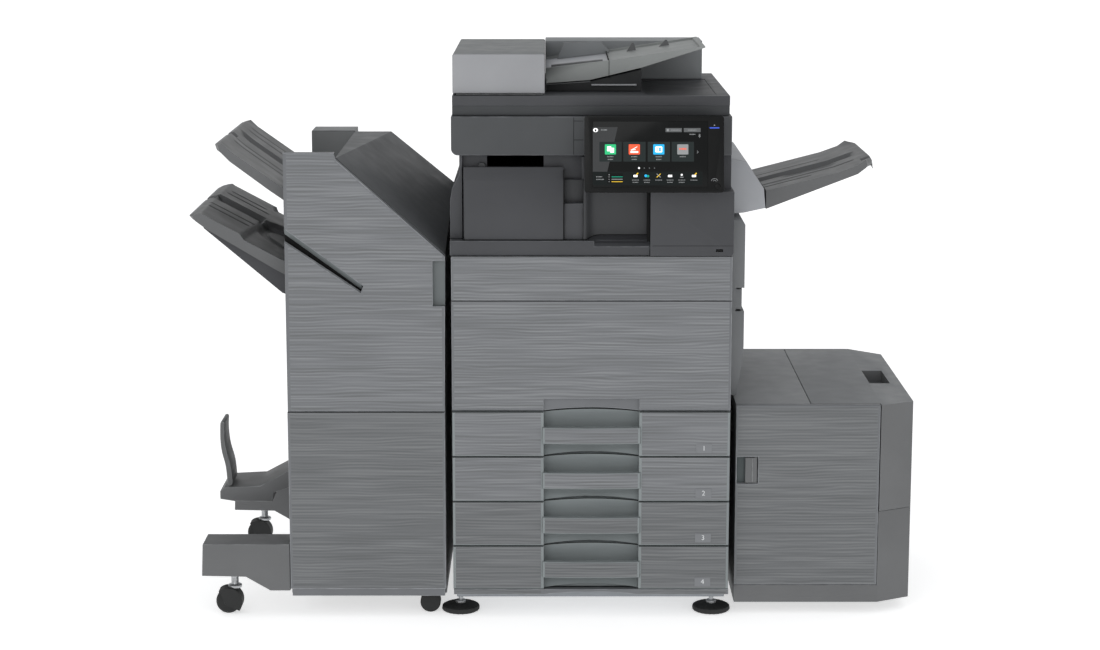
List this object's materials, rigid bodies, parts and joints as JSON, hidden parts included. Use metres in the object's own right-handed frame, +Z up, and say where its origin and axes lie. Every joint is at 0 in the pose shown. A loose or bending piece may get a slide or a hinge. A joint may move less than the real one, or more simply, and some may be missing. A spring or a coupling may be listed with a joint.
{
  "type": "photocopier",
  "caption": "Floor-standing office photocopier with document feeder, touch panel, paper drawers, side paper cassette and a finisher with sloping trays.",
  "frame": {"origin": "on the floor, under the middle of the whole machine", "axes": "+X to the right seen from the front, +Y to the back, +Z up"},
  "size_m": [1.542, 0.712, 1.214],
  "materials": {
    "striped_panel": "textured grey plastic with fine level ripples",
    "drawer_panel": "textured grey plastic with a smooth recess",
    "dark_plastic": "fine-grained dark grey",
    "mid_plastic": "fine-grained mid grey",
    "light_plastic": "fine-grained light grey",
    "black_gloss": "polished black",
    "screen_glass": "dark touch screen",
    "black_rubber": "matt black",
    "sheet_steel": "galvanised sheet",
    "clear_glass": "clear float glass",
    "toner_plastic": "toner bottles",
    "drum_coating": "green photoconductor",
    "belt_film": "black film belt",
    "roller_rubber": "grey silicone rubber",
    "inner_plastic": "black inner moulding"
  },
  "bodies": {
    "main_unit": {"main_frame": "sheet_steel", "side_covers": "mid_plastic", "rear_cover": "mid_plastic", "front_trims": "striped_panel", "exit_deck": "dark_plastic", "right_pillar": "dark_plastic", "upper_frame": "dark_plastic", "relay_unit": "dark_plastic", "laser_unit": "inner_plastic", "drum_units": "drum_coating", "transfer_unit": "belt_film", "toner_cartridges": "toner_plastic", "fuser_rollers": "roller_rubber", "scanner_case": "dark_plastic", "platen_glass": "clear_glass", "panel_bracket": "inner_plastic", "exit_housing": "light_plastic", "exit_tray": "mid_plastic", "levelling_feet": "black_rubber"},
    "front_door": {"front_door": "striped_panel"},
    "relay_cover": {"relay_cover": "dark_plastic"},
    "scan_carriage": {"scan_carriage": "inner_plastic"},
    "platen_cover": {"platen_cover": "dark_plastic", "adf_body": "mid_plastic"},
    "feeder_cover": {"feeder_cover": "light_plastic"},
    "document_tray": {"document_tray": "mid_plastic"},
    "front_guide": {"front_guide": "mid_plastic"},
    "rear_guide": {"rear_guide": "mid_plastic"},
    "operation_panel": {"panel_housing": "black_gloss", "panel_screen": "screen_glass"},
    "power_button": {"power_button": "black_gloss"},
    "side_door": {"side_door": "mid_plastic"},
    "paper_cassette": {"lcc_case": "mid_plastic", "lcc_front_panel": "striped_panel"},
    "cassette_lid": {"lcc_lid": "mid_plastic"},
    "cassette_lever": {"lcc_lever": "mid_plastic"},
    "lift_plate": {"lcc_lift_plate": "sheet_steel"},
    "finisher": {"finisher_frame": "mid_plastic", "finisher_rear_block": "dark_plastic", "finisher_internals": "inner_plastic", "finisher_lower_cover": "striped_panel", "upper_tray": "mid_plastic", "booklet_tray": "mid_plastic", "finisher_arms": "mid_plastic"},
    "finisher_door": {"finisher_door": "striped_panel"},
    "finisher_top_cover": {"finisher_top_cover": "dark_plastic"},
    "stack_tray": {"stack_tray": "mid_plastic"},
    "booklet_stop": {"booklet_stop": "mid_plastic"},
    "front_caster": {"front_caster_fork": "inner_plastic"},
    "front_wheel": {"front_caster_wheel": "black_rubber"},
    "rear_caster": {"rear_caster_fork": "inner_plastic"},
    "rear_wheel": {"rear_caster_wheel": "black_rubber"},
    "drawer_1": {"drawer_1_front": "drawer_panel", "drawer_1_tray": "inner_plastic"},
    "drawer_2": {"drawer_2_front": "drawer_panel", "drawer_2_tray": "inner_plastic"},
    "drawer_3": {"drawer_3_front": "drawer_panel", "drawer_3_tray": "inner_plastic"},
    "drawer_4": {"drawer_4_front": "drawer_panel", "drawer_4_tray": "inner_plastic"}
  },
  "joints": [
    {"name": "drawer_1_slide", "type": "slide", "parent": "main_unit", "child": "drawer_1", "axis": [0, -1, 0], "range_m": [0, 0.45]},
    {"name": "drawer_2_slide", "type": "slide", "parent": "main_unit", "child": "drawer_2", "axis": [0, -1, 0], "range_m": [0, 0.45]},
    {"name": "drawer_3_slide", "type": "slide", "parent": "main_unit", "child": "drawer_3", "axis": [0, -1, 0], "range_m": [0, 0.45]},
    {"name": "drawer_4_slide", "type": "slide", "parent": "main_unit", "child": "drawer_4", "axis": [0, -1, 0], "range_m": [0, 0.45]},
    {"name": "front_door_hinge", "type": "hinge", "parent": "main_unit", "child": "front_door", "pos_m": [0.08, -0.288, 0.4605], "axis": [1, 0, 0], "range_deg": [0, 90]},
    {"name": "relay_cover_hinge", "type": "hinge", "parent": "main_unit", "child": "relay_cover", "pos_m": [-0.184, -0.28, 0.88], "axis": [0, 0, -1], "range_deg": [0, 90]},
    {"name": "carriage_slide", "type": "slide", "parent": "main_unit", "child": "scan_carriage", "axis": [1, 0, 0], "range_m": [0, 0.48]},
    {"name": "platen_cover_hinge", "type": "hinge", "parent": "main_unit", "child": "platen_cover", "pos_m": [0.08, 0.328, 1.0835], "axis": [-1, 0, 0], "range_deg": [0, 70]},
    {"name": "feeder_cover_hinge", "type": "hinge", "parent": "platen_cover", "child": "feeder_cover", "pos_m": [-0.208, 0, 1.125], "axis": [0, -1, 0], "range_deg": [0, 75]},
    {"name": "document_tray_hinge", "type": "hinge", "parent": "platen_cover", "child": "document_tray", "pos_m": [-0.012, 0, 1.1405], "axis": [0, -1, 0], "range_deg": [0, 30]},
    {"name": "front_guide_slide", "type": "slide", "parent": "document_tray", "child": "front_guide", "axis": [0, 1, 0], "range_m": [0, 0.06]},
    {"name": "rear_guide_slide", "type": "slide", "parent": "document_tray", "child": "rear_guide", "axis": [0, -1, 0], "range_m": [0, 0.06]},
    {"name": "panel_tilt", "type": "hinge", "parent": "main_unit", "child": "operation_panel", "pos_m": [0.2065, -0.303, 1.06], "axis": [-1, 0, 0], "range_deg": [0, 60]},
    {"name": "power_button_press", "type": "slide", "parent": "operation_panel", "child": "power_button", "axis": [0, 0.9848, -0.1736], "range_m": [0, 0.001], "stiffness_N_per_m": 800},
    {"name": "side_door_hinge", "type": "hinge", "parent": "main_unit", "child": "side_door", "pos_m": [0.382, 0.296, 0.65], "axis": [0, 0, 1], "range_deg": [0, 60]},
    {"name": "cassette_undock", "type": "slide", "parent": "main_unit", "child": "paper_cassette", "axis": [1, 0, 0], "range_m": [0, 0.3]},
    {"name": "cassette_lid_hinge", "type": "hinge", "parent": "paper_cassette", "child": "cassette_lid", "pos_m": [0.552, 0.04, 0.458], "axis": [0, -1, 0], "range_deg": [0, 80]},
    {"name": "cassette_lever_hinge", "type": "hinge", "parent": "paper_cassette", "child": "cassette_lever", "pos_m": [0.4325, -0.2595, 0.318], "axis": [0, 0, 1], "range_deg": [0, 40]},
    {"name": "lift_plate_rise", "type": "slide", "parent": "paper_cassette", "child": "lift_plate", "axis": [0, 0, 1], "range_m": [0, 0.3]},
    {"name": "finisher_undock", "type": "slide", "parent": "main_unit", "child": "finisher", "axis": [-1, 0, 0], "range_m": [0, 0.2]},
    {"name": "finisher_door_hinge", "type": "hinge", "parent": "finisher", "child": "finisher_door", "pos_m": [-0.5575, -0.289, 0.7], "axis": [0, 0, -1], "range_deg": [0, 100]},
    {"name": "finisher_top_cover_hinge", "type": "hinge", "parent": "finisher", "child": "finisher_top_cover", "pos_m": [-0.34, 0.252, 0.778], "axis": [-1, 0, 0], "range_deg": [0, 45]},
    {"name": "stack_tray_drop", "type": "slide", "parent": "finisher", "child": "stack_tray", "axis": [0, 0, -1], "range_m": [0, 0.2]},
    {"name": "booklet_stop_hinge", "type": "hinge", "parent": "finisher", "child": "booklet_stop", "pos_m": [-0.715, -0.015, 0.248], "axis": [0, -1, 0], "range_deg": [0, 70]},
    {"name": "front_caster_swivel", "type": "hinge", "parent": "finisher", "child": "front_caster", "pos_m": [-0.688, -0.252, 0.06], "axis": [0, 0, 1], "continuous": true},
    {"name": "front_wheel_spin", "type": "hinge", "parent": "front_caster", "child": "front_wheel", "pos_m": [-0.702, -0.252, 0.027], "axis": [0, 1, 0], "continuous": true},
    {"name": "rear_caster_swivel", "type": "hinge", "parent": "finisher", "child": "rear_caster", "pos_m": [-0.688, 0.3, 0.06], "axis": [0, 0, 1], "continuous": true},
    {"name": "rear_wheel_spin", "type": "hinge", "parent": "rear_caster", "child": "rear_wheel", "pos_m": [-0.702, 0.3, 0.027], "axis": [0, 1, 0], "continuous": true}
  ],
  "couplings": [
    {"joint": "rear_guide_slide", "follows": "front_guide_slide", "ratio": 1}
  ]
}
